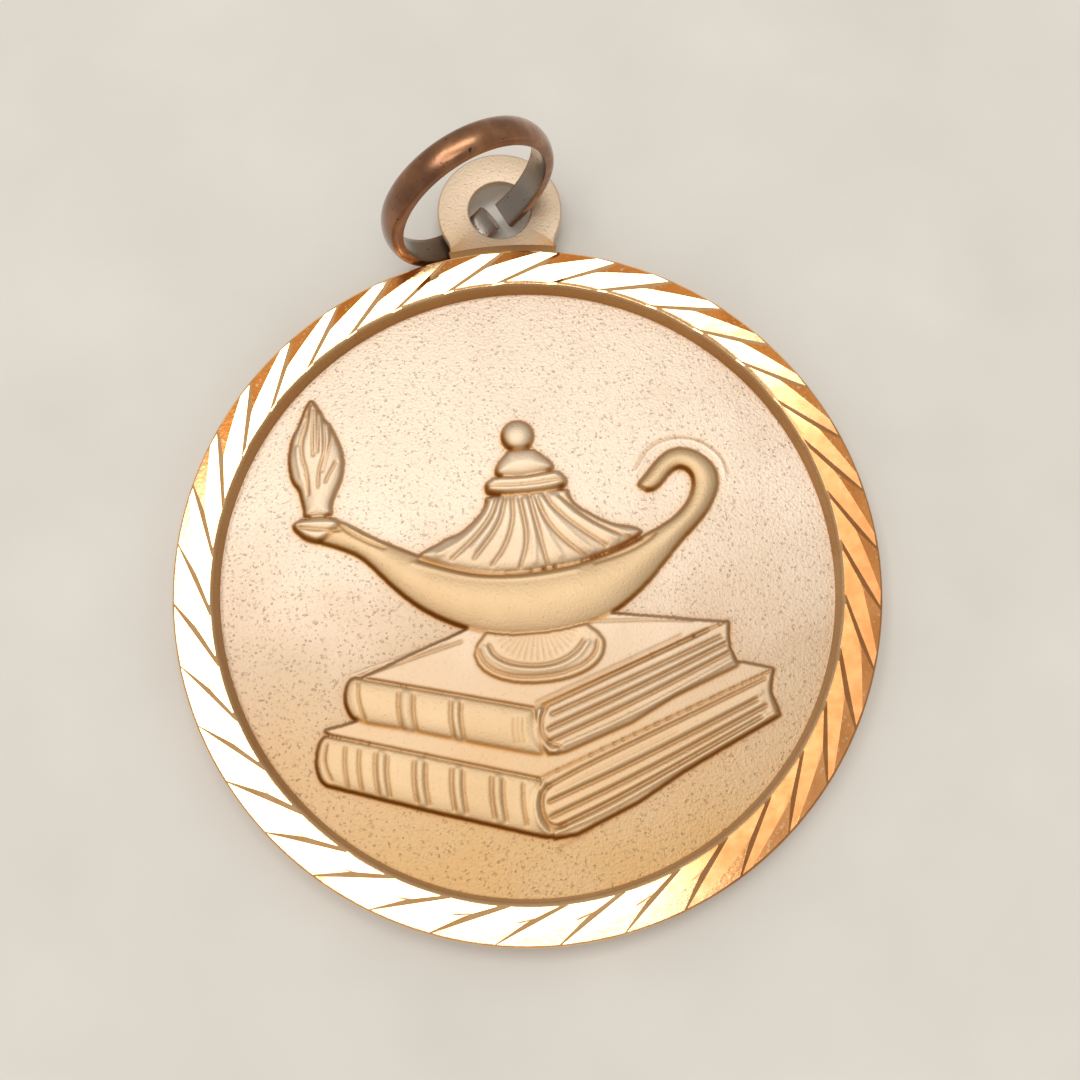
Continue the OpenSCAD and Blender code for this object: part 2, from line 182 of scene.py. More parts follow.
def setRoom():
    world = bpy.data.worlds.new("paleRoom")
    scene.world = world
    world.use_nodes = True
    tree = world.node_tree
    tree.nodes.clear()
    room = addNode(tree, "ShaderNodeBackground", {"Color": toLinear("#C1BBB2"), "Strength": 1.0})
    addNode(tree, "ShaderNodeOutputWorld", {"Surface": room.outputs[0]})


def paperFloor():
    # uncoated card: matt, nearly even, with a faint mottle
    material, tree, place = startMaterial("uncoatedCard")
    cloud = speckle(tree, place, 9, 3)
    fibre = speckle(tree, place, 0.5, 3)
    tone = ramp(tree, cloud, [(0.3, "#D9D7D2"), (0.7, "#E1DFDA")])
    bump = addNode(tree, "ShaderNodeBump", {"Height": fibre, "Strength": 0.25, "Distance": 0.00003})
    finishMaterial(tree, {"Base Color": tone, "Roughness": 0.85, "Normal": bump.outputs[0]})
    return material


def setFloor():
    bm = bmesh.new()
    bmesh.ops.create_grid(bm, x_segments=4, y_segments=4, size=0.6)
    # a hair below the medal's back, so that the two never share a plane
    drop = 0.00001
    bmesh.ops.translate(bm, vec=(0, 0, -drop), verts=bm.verts)
    mesh = bpy.data.meshes.new("cardFloor")
    bm.to_mesh(mesh)
    bm.free()
    mesh.materials.append(paperFloor())
    floor = bpy.data.objects.new("cardFloor", mesh)
    scene.collection.objects.link(floor)


setCamera(viewPoint)
setRoom()
setLights(softBoxes)
setFloor()
scene.view_settings.view_transform = "Standard"
print("camera, light and floor set")


# materials


def satinBronze():
    # struck bronze with a blasted field: satin, pale pinkish gold, dark ochre left in the recesses; the same
    # dark tones paint shade on the rim's inner wall and on relief slopes that face away from the light
    material, tree, place = startMaterial("satinStruckBronze")
    patinaAndShade = attribute(tree, "patinaAndShade")
    proud = attribute(tree, "proud")
    cloud = speckle(tree, place, 4, 3)
    grain = speckle(tree, place, 0.13, 2)
    pits = speckle(tree, place, 0.15, 2)
    height = addNode(tree, "ShaderNodeSeparateXYZ", {"Vector": place}).outputs["Y"]
    paintedTopLight = addNode(tree, "ShaderNodeMapRange",
                     {"Value": height, "From Min": -0.0125, "From Max": 0.004}).outputs["Result"]
    # painted light: paler towards the top, as if lit from above, with the cloud's unevenness
    cloudAndTopLight = calc(tree, "MULTIPLY_ADD", cloud, 0.5, calc(tree, "SUBTRACT", paintedTopLight, 0.25))
    field = ramp(tree, cloudAndTopLight, [(0.0, "#C8A576"), (0.55, "#CBB49B"), (1.0, "#E6D6C4")])
    golden = ramp(tree, cloud, [(0.3, "#C8AC87"), (0.7, "#D4BA96")])
    toneWithLight = blend(tree, attribute(tree, "warm"), field, golden)
    # dark pits of the blasting, fainter on the proud, rubbed shapes
    pitMask = ramp(tree, pits, [(0.25, 1.0), (0.33, 0.4), (0.42, 0.0)])
    wearAndHighlight = calc(tree, "MULTIPLY", pitMask, calc(tree, "MULTIPLY_ADD", proud, -0.7, 1.0))
    toneWithLight = blend(tree, calc(tree, "MULTIPLY", wearAndHighlight, 0.3), toneWithLight, toLinear("#A08A72"))
    # patina in the recesses and painted shade both come through this one attribute and darken the colour
    dirtAndShade = ramp(tree, patinaAndShade, [(0.0, "#FFFFFF"), (0.3, "#E6C494"), (0.6, "#B98A4C"), (1.0, "#7A4A1A")])
    colour = blend(tree, 1.0, toneWithLight, dirtAndShade, "MULTIPLY")
    rough = calc(tree, "MULTIPLY_ADD", patinaAndShade, 0.12,
                 calc(tree, "MULTIPLY_ADD", proud, -0.03, 0.56))
    rise = calc(tree, "MULTIPLY_ADD", grain, calc(tree, "MULTIPLY_ADD", proud, -0.6, 1.0),
                calc(tree, "MULTIPLY", wearAndHighlight, -0.8))
    bump = addNode(tree, "ShaderNodeBump", {"Height": rise, "Strength": 0.8, "Distance": 0.000025})
    finishMaterial(tree, {"Base Color": colour, "Metallic": 1.0, "Roughness": rough,
                          "Normal": bump.outputs[0]})
    return material


def brightBronze():
    # graver-cut bronze: mirror bright, coppery, with fine tool lines and burrs
    material, tree, place = startMaterial("brightCutBronze")
    tool = speckle(tree, place, 0.5, 4)
    crumbs = speckle(tree, place, 0.16, 2)
    toneWithLight = ramp(tree, tool, [(0.3, "#F6C088"), (0.7, "#FCD3A2")])
    unlitCut = ramp(tree, tool, [(0.35, "#A86A36"), (0.7, "#B97D48")])
    # painted reflection: the cuts are pale where they mirror the light and orange-brown where they mirror the
    # dark, set by bearing
    colour = blend(tree, attribute(tree, "cutHighlight"), unlitCut, toneWithLight)
    # where they carry less painted highlight the cuts are also rougher
    dull = calc(tree, "MULTIPLY_ADD", attribute(tree, "cutHighlight"), -0.28, 0.34)
    rough = calc(tree, "MULTIPLY_ADD", crumbs, 0.1, dull)
    bump = addNode(tree, "ShaderNodeBump", {"Height": tool, "Strength": 0.15, "Distance": 0.00002})
    finishMaterial(tree, {"Base Color": colour, "Metallic": 1.0, "Roughness": rough,
                          "Normal": bump.outputs[0]})
    return material


def tonedBronze():
    # the lands between the cuts: struck smooth, toned orange-brown, flecked with burrs
    material, tree, place = startMaterial("tonedStruckBronze")
    cloud = speckle(tree, place, 1.6, 4)
    crumbs = speckle(tree, place, 0.22, 3)
    fleck = ramp(tree, crumbs, [(0.6, 0.0), (0.68, 1.0)])
    base = ramp(tree, cloud, [(0.3, "#E68E3E"), (0.7, "#F4A45A")])
    # painted highlight: the lands turn pale where they mirror the light, at the lower left
    base = blend(tree, attribute(tree, "landHighlight"), base, toLinear("#F8D6AA"))
    colour = blend(tree, fleck, base, toLinear("#F7CD9A"))
    rough = calc(tree, "MULTIPLY_ADD", cloud, 0.12, 0.16)
    bump = addNode(tree, "ShaderNodeBump", {"Height": crumbs, "Strength": 0.35, "Distance": 0.00002})
    finishMaterial(tree, {"Base Color": colour, "Metallic": 1.0, "Roughness": rough,
                          "Normal": bump.outputs[0]})
    return material


def agedCopper():
    # drawn copper wire, antiqued: red-brown with a soft sheen, and a painted grey reflection on its flat
    # inner side
    material, tree, place = startMaterial("antiquedCopper")
    cloud = speckle(tree, place, 1.2, 4)
    pits = speckle(tree, place, 0.22, 2)
    colour = ramp(tree, cloud, [(0.28, "#74482D"), (0.55, "#94633D"), (0.75, "#AE8059")])
    # painted reflection: the flat inner side is greyer, as where it mirrors the bright light
    colour = blend(tree, attribute(tree, "inner"), colour, toLinear("#8A8078"))
    dark = ramp(tree, pits, [(0.26, 1.0), (0.34, 0.0)])
    colour = blend(tree, dark, colour, toLinear("#2C1712"))
    rough = calc(tree, "MULTIPLY_ADD", pits, -0.1, 0.36)
    rise = calc(tree, "MULTIPLY_ADD", dark, -1.0, pits)
    bump = addNode(tree, "ShaderNodeBump", {"Height": rise, "Strength": 0.3, "Distance": 0.00002})
    finishMaterial(tree, {"Base Color": colour, "Metallic": 1.0, "Roughness": rough,
                          "Coat Weight": 1.0, "Coat Roughness": 0.24, "Normal": bump.outputs[0]})
    return material


satin = satinBronze()
bright = brightBronze()
toned = tonedBronze()
copper = agedCopper()
print("materials made")


# medalDisc: the round body with its slanted rim cuts. The field is a piece of its own.

disc = {
    "outerR": 16, "bevel": 0.12, "edgeZ": 2.2, "crestR": 14.25, "crestZ": 2.35,
    "fieldR": 14.02, "fieldZ": 1.4, "hiddenZ": 1.15, "wallRise": 0.86, "rimRings": 14,
    # slant is the angle from the radius, lean the long facet's slope, wallAngle the short wall's
    "cuts": 36, "slant": 57, "lean": 8.6, "cutFloor": 2.166, "wallAngle": 25,
    # unevenness: spread of the angles and of the depth, and the bearing where cuts go deeper
    "angleSpread": 0.8, "depthSpread": 0.012, "deeperBy": 0.02, "deeperTowards": 60,
    "facetColumns": 5, "landColumns": 4, "wallColumns": 3,
    # the inner wall rises steeply and rounds over in a lip: its share of the height at each station
    "lipShares": (0.0, 0.55, 0.82, 0.94, 1.0),
    # bearings in degrees, with at each the painted highlight on the lands, the painted shade on the inner
    # wall and the painted highlight on the cuts
    "landHighlightBearings": ((0, 25, 45, 150, 172, 284, 300, 360), (0.12, 0.08, 0, 0, 0.95, 0.95, 0.3, 0.12)),
    "wallShade": ((0, 50, 110, 170, 250, 295, 360), (0.25, 0.32, 0.34, 0.24, 0.02, 0.0, 0.15)),
    "cutHighlightBearings": ((0, 22, 40, 282, 300, 360), (0.15, 0.3, 1, 1, 0.15, 0.15)),
}


def cutTable(v):
    rng = np.random.default_rng(4)
    rows = []
    angle, depth = v["angleSpread"], v["depthSpread"]
    for k in range(v["cuts"]):
        phi = math.radians(k * 360 / v["cuts"])
        deeper = math.cos(phi - math.radians(v["deeperTowards"]))
        rows.append({
            "phi": phi,
            "turn": math.radians(90 - v["slant"] + rng.uniform(-angle, angle)),
            "floor": v["cutFloor"] - v["deeperBy"] * deeper + rng.uniform(-depth, depth),
            "rise": math.tan(math.radians(v["lean"] + rng.uniform(-angle, angle))),
        })
    return rows


def cutSide(v, row, radius, phi):
    # signed distance from the deep line of a cut
    return radius * math.cos(phi - row["phi"] - row["turn"]) - v["outerR"] * math.cos(row["turn"])


def cutAngle(v, row, radius, side):
    # the bearing at which a circle of this radius is that far from the deep line
    share = (v["outerR"] * math.cos(row["turn"]) + side) / radius
    return row["phi"] + row["turn"] - math.acos(max(-1, min(1, share)))


def cutHeight(v, row, radius, phi):
    side = cutSide(v, row, radius, phi)
    steep = math.tan(math.radians(v["wallAngle"]))
    return row["floor"] + (side * row["rise"] if side > 0 else -side * steep)


def landHeight(v, radius):
    share = (v["outerR"] - radius) / (v["outerR"] - v["crestR"])
    return v["edgeZ"] + (v["crestZ"] - v["edgeZ"]) * share


def rimHeight(v, rows, k, radius, phi):
    # the land's height, or that of one of the three nearest cuts where it is lower
    top = landHeight(v, radius)
    for other in (k - 1, k, k + 1):
        row = dict(rows[other % v["cuts"]])
        row["phi"] += 2 * math.pi * (other // v["cuts"])
        top = min(top, cutHeight(v, row, radius, phi))
    return top


def columnAngles(v, rows, k, radius):
    # bearings of one cut's columns: they follow the deep line, the facet's edge and the next wall
    here = rows[k]
    after = dict(rows[(k + 1) % v["cuts"]])
    after["phi"] = here["phi"] + 2 * math.pi / v["cuts"]
    top = landHeight(v, radius)
    start = cutAngle(v, here, radius, 0)
    end = cutAngle(v, after, radius, 0)
    facet = cutAngle(v, here, radius, (top - here["floor"]) / here["rise"])
    steep = math.tan(math.radians(v["wallAngle"]))
    wall = cutAngle(v, after, radius, -(top - after["floor"]) / steep)
    # in radians
    closest = 0.0003
    if facet > wall - closest:
        # no land is left here, so the facet runs up to the wall, where halving finds their ridge
        low, high = start, end
        for _ in range(24):
            middle = (low + high) / 2
            if cutHeight(v, here, radius, middle) < cutHeight(v, after, radius, middle):
                low = middle
            else:
                high = middle
        facet, wall = low - closest / 2, low + closest / 2
    marks = [start, facet, wall, end]
    counts = [v["facetColumns"], v["landColumns"], v["wallColumns"]]
    angles = []
    for a, b, n in zip(marks, marks[1:], counts):
        angles += [a + (b - a) * i / n for i in range(n)]
    return angles


def discStations(v):
    # the outline to spin, as radius and height: hidden floor, inner wall, lip, rim, edge and back
    wallR = v["crestR"] - 0.02
    first, last = v["crestR"] + 0.08, v["outerR"] - v["bevel"]
    gap = (last - first) / (v["rimRings"] - 1)
    stations = [(0, v["hiddenZ"]), (v["fieldR"] - 0.12, v["hiddenZ"])]
    stations += [(v["fieldR"] - 0.01, v["fieldZ"] - 0.06)]
    wallFirst = len(stations)
    stations += [(v["fieldR"] + (wallR - v["fieldR"]) * t, v["fieldZ"] + v["wallRise"] * t)
                 for t in (0.03, 0.25, 0.5, 0.75, 1.0)]
    stations += [(v["crestR"] + 0.02, v["crestZ"] - 0.03)]
    rimFirst = len(stations)
    stations += [(first + gap * i, v["crestZ"] - 0.001 * i) for i in range(v["rimRings"])]
    rimLast = len(stations) - 1
    stations += [(v["outerR"] - 0.05, v["edgeZ"] - 0.04), (v["outerR"] - 0.012, v["edgeZ"] - 0.1)]
    stations += [(v["outerR"], z) for z in (1.98, 1.5, 0.9, 0.4, 0.12)]
    stations += [(v["outerR"] - 0.04, 0.035), (last, 0), (14, 0), (8, 0), (0, 0)]
    return stations, wallFirst, rimFirst, rimLast


def makeDisc(v):
    rows = cutTable(v)
    perCut = v["facetColumns"] + v["landColumns"] + v["wallColumns"]
    columns = perCut * v["cuts"]
    stations, wallFirst, rimFirst, rimLast = discStations(v)
    bm = bmesh.new()
    chain = [bm.verts.new((r, 0, z)) for r, z in stations]
    edges = [bm.edges.new(pair) for pair in zip(chain, chain[1:])]
    bmesh.ops.spin(bm, geom=chain + edges, cent=(0, 0, 0), axis=(0, 0, 1), dvec=(0, 0, 0),
                   angle=2 * math.pi, steps=columns, use_merge=True)
    bmesh.ops.remove_doubles(bm, verts=bm.verts, dist=0.0001)
    table = np.array(stations)
    angles = {i: sum((columnAngles(v, rows, k, stations[i][0]) for k in range(v["cuts"])), [])
              for i in range(rimFirst, rimLast + 1)}
    step = 2 * math.pi / columns
    wallFoot = v["fieldZ"] - 0.02
    patinaAndShade, proud, landHighlight, cutHighlight = [], [], [], []
    for vert in bm.verts:
        radius = math.hypot(vert.co.x, vert.co.y)
        i = int(np.argmin(np.abs(table - (radius, vert.co.z)).sum(1)))
        dirtAndShade, smooth, wearAndHighlight, cutShine = 0.0, 0.3, 0.0, 0.0
        if radius > 0.01:
            # each vertex slides round to its column and up or down to the rim's true height
            column = round(math.atan2(vert.co.y, vert.co.x) / step) % columns
            near = max(rimFirst, min(rimLast, i))
            phi = angles[near][column]
            bearing = math.degrees(phi) % 360
            # painted highlight on the lands, set by bearing
            wearAndHighlight = float(np.interp(bearing, *v["landHighlightBearings"]))
            cutShine = float(np.interp(bearing, *v["cutHighlightBearings"]))
            rim = rimHeight(v, rows, column // perCut, stations[near][0], phi)
            z = vert.co.z
            if rimFirst <= i <= rimLast:
                z = rim
            elif i == rimFirst - 1:
                z = rim - 0.02
            elif wallFirst <= i < rimFirst:
                share = v["lipShares"][i - wallFirst]
                z = wallFoot + (rim - 0.05 - wallFoot) * share
                # painted shade on the inner wall: darker where it faces away from the light, and towards its
                # foot
                dirtAndShade = float(np.interp(bearing, *v["wallShade"])) * (1 - 0.4 * share)
            elif rimLast < i <= rimLast + 2:
                z = min(z, rim - 0.02 * (i - rimLast))
                smooth = 0.8
            elif i > rimLast + 2:
                dirtAndShade = 0.25
            vert.co = (radius * math.cos(phi), radius * math.sin(phi), z)
        patinaAndShade.append(dirtAndShade)
        proud.append(smooth)
        landHighlight.append(wearAndHighlight)
        cutHighlight.append(cutShine)
    bmesh.ops.recalc_face_normals(bm, faces=bm.faces)
    for face in bm.faces:
        centre = face.calc_center_median()
        radius = centre.xy.length
        if v["crestR"] + 0.02 < radius < v["outerR"] - 0.03 and centre.z > 1.9:
            # a face below the land's height is a cut (material 1), the rest are lands (material 2)
            face.material_index = 1 if landHeight(v, radius) - centre.z > 0.004 else 2
    values = {"patinaAndShade": patinaAndShade, "proud": proud, "warm": [1.0] * len(proud), "landHighlight": landHighlight, "cutHighlight": cutHighlight}
    return addPiece(bm, "medalDisc", [satin, bright, toned], 12, values)


medalDisc = makeDisc(disc)


# lampRelief: the sunk field with the lamp on its two books. A height map, drawn with strokes and
# rounded shapes, lifts a fine grid. Points are drawn in millimetres, then fitted by onMedal.

relief = {
    "step": 0.05, "reach": 13.6, "grow": 1.012, "shiftX": 0.014, "shiftY": 0.13,
    "fieldZ": 1.4, "plateR": 14.15, "plateDepth": 0.3, "coarse": 0.4, "cuts": 6, "margin": 0.35,
}
steps = np.arange(-relief["reach"], relief["reach"] + 0.001, relief["step"])
gridX, gridY = np.meshgrid(steps, steps)
height = np.zeros_like(gridX)
ink = np.zeros_like(gridX)
warm = np.zeros_like(gridX)


def window(points, reach):
    # the part of the height map that lies near these points
    low = points.min(0) - reach
    high = points.max(0) + reach
    i = np.clip(((low + relief["reach"]) / relief["step"]).astype(int), 0, len(steps) - 1)
    j = np.clip(((high + relief["reach"]) / relief["step"]).astype(int) + 2, 1, len(steps))
    return slice(i[1], j[1]), slice(i[0], j[0])


def onMedal(points):
    # drawn points to places on the medal, by the size and shift that fit the photo
    return np.array(points, float) * relief["grow"] + (relief["shiftX"], relief["shiftY"])


def soften(points, times=2, closed=False):
    # corner cutting, which rounds a line drawn with few points
    for _ in range(times):
        after = np.roll(points, -1, 0) if closed else points[1:]
        here = points if closed else points[:-1]
        cut = np.stack([here * 0.75 + after * 0.25, here * 0.25 + after * 0.75], 1).reshape(-1, 2)
        points = cut if closed else np.vstack([points[:1], cut, points[-1:]])
    return points


def distanceTo(points, where):
    # how far each place is from the line, and how far along the line its nearest point is, 0 to 1
    x, y = gridX[where], gridY[where]
    best = np.full(x.shape, 99.0)
    along = np.zeros(x.shape)
    lengths = np.hypot(*(points[1:] - points[:-1]).T)
    total = max(lengths.sum(), 1e-6)
    start = 0.0
    for a, b, length in zip(points[:-1], points[1:], lengths):
        d = b - a
        t = np.clip(((x - a[0]) * d[0] + (y - a[1]) * d[1]) / max(length * length, 1e-9), 0, 1)
        q = np.hypot(x - a[0] - t * d[0], y - a[1] - t * d[1])
        nearer = q < best
        best = np.where(nearer, q, best)
        along = np.where(nearer, (start + t * length) / total, along)
        start += length
    return best, along


def insideOf(points, where):
    # a place is inside where a ray to its right crosses the outline an odd number of times
    x, y = gridX[where], gridY[where]
    mask = np.zeros(x.shape, bool)
    for a, b in zip(points, np.roll(points, -1, 0)):
        if a[1] != b[1]:
            crossing = (b[0] - a[0]) * (y - a[1]) / (b[1] - a[1]) + a[0]
            mask ^= ((a[1] > y) != (b[1] > y)) & (x < crossing)
    return mask


def swell(points, rise, shoulder, edge=0.4, outline=0.7, rounds=2, tint=0.45):
    # a raised shape that rounds over from its outline within the shoulder's width; edge is the
    # share of the rise at the outline, outline its darkness, and tint how golden the shape is
    points = soften(onMedal(points), rounds, True)
    where = window(points, 0.4)
    mask = insideOf(points, where)
    far, _ = distanceTo(np.vstack([points, points[:1]]), where)
    t = np.clip(far / shoulder, 0, 1)
    top = rise * (edge + (1 - edge) * np.sqrt(1 - (1 - t) ** 2))
    height[where] = np.where(mask, np.maximum(height[where], top), height[where])
    line = outline * np.exp(-(far / 0.08) ** 2)
    ink[where] = np.where(mask, 0, ink[where])
    warm[where] = np.where(mask, tint, warm[where])
    ink[where] = np.maximum(ink[where], line)


def stroke(points, width, rise, tone=0.0, taper=0.0, rounds=2):
    # a groove where rise is below zero, a ridge above it, and at zero only cleared ink; tone is a
    # groove's darkness, and taper how much the line fades along its way
    points = soften(onMedal(points), rounds)
    where = window(points, width * 3)
    far, along = distanceTo(points, where)
    fade = 1 - taper * along
    shape = np.exp(-(far / width) ** 2) * fade
    height[where] += rise * shape
    if rise < 0:
        ink[where] = np.maximum(ink[where], tone * shape)
    else:
        ink[where] *= 1 - 0.8 * shape


def strokes(lines, width, rise, tone=0.0, taper=0.0):
    for line in lines:
        stroke(line, width, rise, tone, taper)


def blur(field, size):
    # size in millimetres
    radius = max(1, int(size * 2.5 / relief["step"]))
    kernel = np.exp(-(np.arange(-radius, radius + 1) * relief["step"] / size) ** 2 / 2)
    kernel /= kernel.sum()
    for axis in (0, 1):
        field = np.apply_along_axis(lambda row: np.convolve(row, kernel, "same"), axis, field)
    return field


def drawSpine(line, bands, ribs, drop):
    # the line between cover and spine, the grooves beside the raised bands, and the bands
    stroke(line, 0.16, 0.0)
    stroke(line, 0.055, -0.05, 0.9)
    (ax, ay), (bx, by) = line[0], line[-1]
    for places, start, pen in ((bands, 0.35, (0.07, -0.05, 0.75)), (ribs, 0.3, (0.15, 0.035, 0))):
        for x in places:
            top = ay + (by - ay) * (x - ax) / (bx - ax)
            across = [(x, top - start), (x - 0.07, top - drop * 0.55), (x + 0.02, top - drop)]
            stroke(across, *pen, rounds=1)


def drawLowerBook():
    swell([(-9.45, -6.15), (-9.25, -6.4), (-0.25, -8.98), (10.6, -5.0), (9.2, -4.6), (2, -3.5), (-8.6, -6.0)],
          0.2, 0.08, 0.8, 0.45, 0, 0.1)
    swell([(-9.25, -6.4), (-0.6, -8.88), (-0.25, -8.98), (-0.2, -9.4), (0.1, -11.2), (0.15, -11.5),
           (-0.3, -11.43), (-3, -10.6), (-5, -10.0), (-7, -9.35), (-9, -8.7), (-9.6, -8.5), (-9.85, -7.9),
           (-9.85, -7.2), (-9.65, -6.6), (-9.45, -6.42)], 0.26, 0.9, 0.45, 0.9, 1, 0.8)
    swell([(-0.25, -8.98), (10.5, -5.05), (10.3, -6.0), (10.6, -7.05), (8, -8.25), (6, -9.2), (4, -10.3),
           (1.2, -11.45), (0.2, -11.55), (-0.2, -10.4)], 0.21, 0.15, 0.6, 0.8, 0, 0.2)
    drawSpine([(-9.25, -6.4), (-0.3, -8.97)],
              (-8.55, -7.95, -7.25, -6.75, -5.6, -5.1, -4.0, -3.5, -2.3, -1.8, -0.95),
              (-7.0, -5.35, -3.75, -2.05), 2.1)
    stroke([(-9.35, -6.75), (-9.5, -7.3), (-9.42, -7.9), (-9.2, -8.35)], 0.06, -0.05, 0.8)
    stroke([(0.05, -9.35), (2, -8.5), (6, -7.0), (10.1, -5.4)], 0.07, -0.08, 0.9)
    strokes([[(0.1, -10.0), (4, -8.6), (9.6, -6.3)], [(0.1, -10.65), (4, -9.2), (10, -6.6)],
             [(0.5, -11.05), (3.5, -9.9), (9.7, -7.1)]], 0.065, -0.08, 0.9)
    strokes([[(0.4, -9.55), (4, -8.15), (6, -7.4)], [(0.4, -10.25), (4, -8.85), (6.5, -7.8)]],
            0.03, -0.02, 0.5)
    strokes([[(0.2, -9.75), (4, -8.3), (9.8, -6.0)], [(0.2, -10.35), (4, -8.92), (9.8, -6.48)],
             [(0.4, -10.88), (4, -9.53), (9.8, -6.88)]], 0.1, 0.03)
    stroke([(0.3, -11.3), (2.5, -10.6), (6, -8.95), (10.3, -6.95)], 0.1, 0.06)
    stroke([(0.15, -9.3), (-0.15, -9.6), (-0.28, -10.2), (-0.15, -10.75), (0.25, -11.08), (0.7, -11.0)],
           0.07, -0.07, 0.85)
    stroke([(-0.1, -9.2), (-0.48, -9.7), (-0.52, -10.5), (-0.25, -11.15), (0.2, -11.38)], 0.1, 0.06)
    stroke([(10.6, -5.15), (10.35, -5.5), (10.3, -6.0), (10.35, -6.6), (10.5, -6.95)], 0.1, -0.06, 0.7)
    stroke([(-0.7, -12.4), (0.2, -12.05), (1, -11.75), (1.9, -11.35)], 0.05, -0.02, 0.5)


def drawUpperBook():
    swell([(-7.8, -4.0), (-0.25, -5.93), (8.6, -2.75), (3.2, -1.9), (0, -1.0), (-4, -2.6)],
          0.27, 0.08, 0.8, 0.4, 0, 0.05)
    swell([(-7.8, -4.0), (-0.6, -5.84), (-0.25, -5.93), (-0.2, -6.3), (-0.02, -7.7), (0.0, -7.98),
           (-0.4, -7.92), (-2, -7.5), (-4, -6.95), (-6, -6.4), (-8.1, -5.9), (-8.45, -5.3),
           (-8.5, -4.7), (-8.35, -4.15), (-8.1, -3.95)], 0.33, 0.85, 0.5, 0.9, 1, 0.8)
    swell([(-0.25, -5.93), (8.75, -2.7), (8.7, -3.9), (9.0, -4.75), (6, -5.9), (4, -6.9), (1, -7.95),
           (0.2, -8.0), (-0.1, -7.1)], 0.28, 0.15, 0.6, 0.8, 0, 0.2)
    drawSpine([(-7.8, -4.0), (-0.3, -5.92)], (-6.1, -5.45, -3.85, -3.4), (-5.78, -3.62), 1.9)
    stroke([(-8.2, -3.85), (-7, -3.5), (-5, -2.98), (-4, -2.65)], 0.07, 0.05)
    stroke([(-7.7, -3.95), (-5.5, -3.35), (-3.2, -2.75)], 0.055, -0.05, 0.8)
    stroke([(2.6, -2.28), (5.5, -2.42), (7.2, -2.6)], 0.055, -0.05, 0.7)
    stroke([(-7.85, -4.2), (-7.9, -5.0), (-7.65, -5.85)], 0.06, -0.05, 0.8)
    for x in (-1.15, -0.95, -0.75):
        stroke([(x, -6.3), (x - 0.05, -6.9), (x, -7.4)], 0.035, -0.03, 0.45, 0, 1)
    stroke([(0.1, -5.95), (3.5, -4.68), (7.7, -3.1)], 0.07, -0.08, 0.9)
    stroke([(-0.1, -5.68), (3.5, -4.35), (6.6, -3.2)], 0.045, -0.04, 0.7)
    strokes([[(0.5, -6.25), (4, -5.0), (8.3, -3.4)], [(0.3, -6.9), (5, -5.15), (8.5, -3.72)],
             [(0.3, -7.45), (4, -6.1), (8.6, -4.15)]], 0.065, -0.08, 0.9)
    strokes([[(0.4, -6.6), (4.5, -5.1), (8.5, -3.55)], [(0.4, -7.15), (4.5, -5.6), (8.6, -3.95)]], 0.1, 0.03)
    stroke([(0.6, -7.75), (4, -6.6), (8.7, -4.5)], 0.1, 0.06)
    stroke([(0.3, -5.98), (0.02, -6.4), (0.02, -7.1), (0.3, -7.5), (0.8, -7.68)], 0.07, -0.07, 0.85)
    stroke([(0.05, -5.95), (-0.18, -6.5), (-0.15, -7.2), (0.12, -7.72), (0.6, -7.9)], 0.09, 0.06)
    stroke([(8.85, -2.85), (8.72, -3.3), (8.72, -3.9), (8.85, -4.4), (8.95, -4.65)], 0.1, -0.06, 0.7)


def drawFoot():
    swell([(-1.9, -2.2), (2.2, -2.2), (3.1, -3.0), (3.1, -3.6), (2.8, -4.1), (2.2, -4.5), (1.2, -4.8),
           (0.2, -4.85), (-0.8, -4.8), (-1.8, -4.5), (-2.5, -4.0), (-2.75, -3.2)], 0.36, 0.3, 0.85, 0.8, 1)
    stroke([(-2.5, -3.2), (-2.3, -3.75), (-1.8, -4.2), (-0.9, -4.5), (0.2, -4.58), (1.1, -4.5), (2.1, -4.2),
            (2.7, -3.7), (2.8, -3.2)], 0.07, -0.06, 0.85)
    stroke([(-2.2, -3.1), (-2, -3.6), (-1.2, -4.1), (0, -4.3), (1, -4.22), (1.9, -3.85), (2.4, -3.2)],
           0.1, 0.05)
    stroke([(-2.0, -3.0), (-1.8, -3.5), (-1.1, -3.9), (0, -4.1), (1, -4.0), (1.8, -3.6), (2.2, -3.1)],
           0.06, -0.06, 0.8)
    rays = 17
    for i in range(rays):
        a = math.radians(-76 + 152 * i / (rays - 1))
        stroke([(0.2 + 0.8 * math.sin(a), -2.3 - 0.25 * math.cos(a)),
                (0.15 + 1.85 * math.sin(a), -2.25 - 1.6 * math.cos(a))], 0.045, -0.035, 0.5, 0.3, 0)


